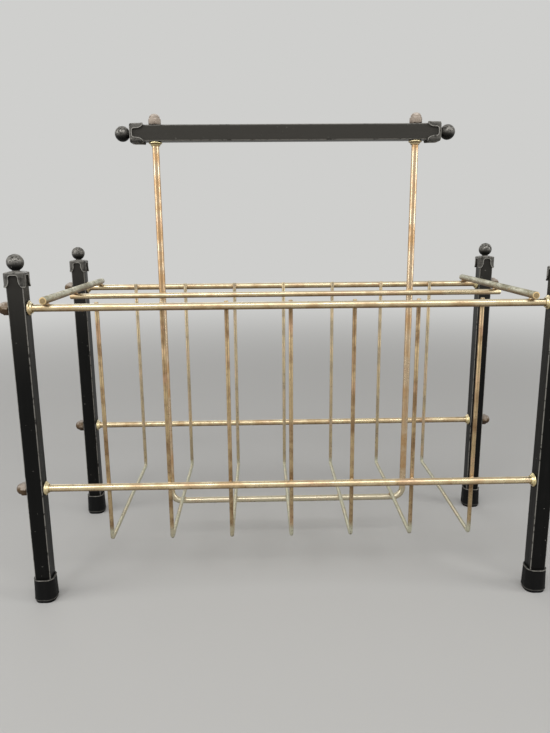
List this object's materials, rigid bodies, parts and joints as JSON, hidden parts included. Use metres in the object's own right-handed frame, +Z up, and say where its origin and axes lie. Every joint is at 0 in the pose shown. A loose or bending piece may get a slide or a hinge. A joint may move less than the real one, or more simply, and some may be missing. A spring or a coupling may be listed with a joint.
{
  "type": "magazine basket",
  "caption": "Wire magazine basket on four square tube legs with ball finials and rubber feet, and a tall bar handle over the middle divider.",
  "frame": {"origin": "on the floor, at the middle of the four feet", "axes": "+X along the basket to the right, +Y from front to back, +Z up"},
  "size_m": [0.4308, 0.1796, 0.385],
  "materials": {
    "black_enamel": "black enamel, semi-gloss, with small chips and rubbed edges",
    "black_rubber": "black rubber, dull",
    "rail_brass": "satin brass, spotted with brown tarnish",
    "wire_brass": "brass, dulled and speckled towards the floor of the basket",
    "greened_brass": "brass under a grey-green patina",
    "nut_brass": "brownish satin brass"
  },
  "bodies": {
    "root": {"leg_front_left": "black_enamel", "finial_front_left": "black_enamel", "foot_front_left": "black_rubber", "leg_front_right": "black_enamel", "finial_front_right": "black_enamel", "foot_front_right": "black_rubber", "leg_back_left": "black_enamel", "finial_back_left": "black_enamel", "foot_back_left": "black_rubber", "leg_back_right": "black_enamel", "finial_back_right": "black_enamel", "foot_back_right": "black_rubber", "rail_front_top": "rail_brass", "washer_front_top_left": "rail_brass", "nut_front_top_left": "nut_brass", "washer_front_top_right": "rail_brass", "nut_front_top_right": "nut_brass", "rail_front_low": "rail_brass", "washer_front_low_left": "rail_brass", "nut_front_low_left": "nut_brass", "washer_front_low_right": "rail_brass", "nut_front_low_right": "nut_brass", "rail_back_top": "rail_brass", "washer_back_top_left": "rail_brass", "nut_back_top_left": "nut_brass", "washer_back_top_right": "rail_brass", "nut_back_top_right": "nut_brass", "rail_back_low": "rail_brass", "washer_back_low_left": "rail_brass", "nut_back_low_left": "nut_brass", "washer_back_low_right": "rail_brass", "nut_back_low_right": "nut_brass", "crosswire_left": "greened_brass", "crosswire_right": "greened_brass", "mid_rail": "rail_brass", "basket_wire_1": "wire_brass", "basket_wire_2": "wire_brass", "basket_wire_3": "wire_brass", "basket_wire_4": "wire_brass", "basket_wire_5": "wire_brass", "basket_wire_6": "wire_brass", "basket_wire_7": "wire_brass", "handle_rod": "rail_brass", "handle_bar": "black_enamel", "handle_finial_left": "black_enamel", "handle_washer_left": "rail_brass", "handle_nut_left": "nut_brass", "handle_finial_right": "black_enamel", "handle_washer_right": "rail_brass", "handle_nut_right": "nut_brass"}
  },
  "joints": []
}
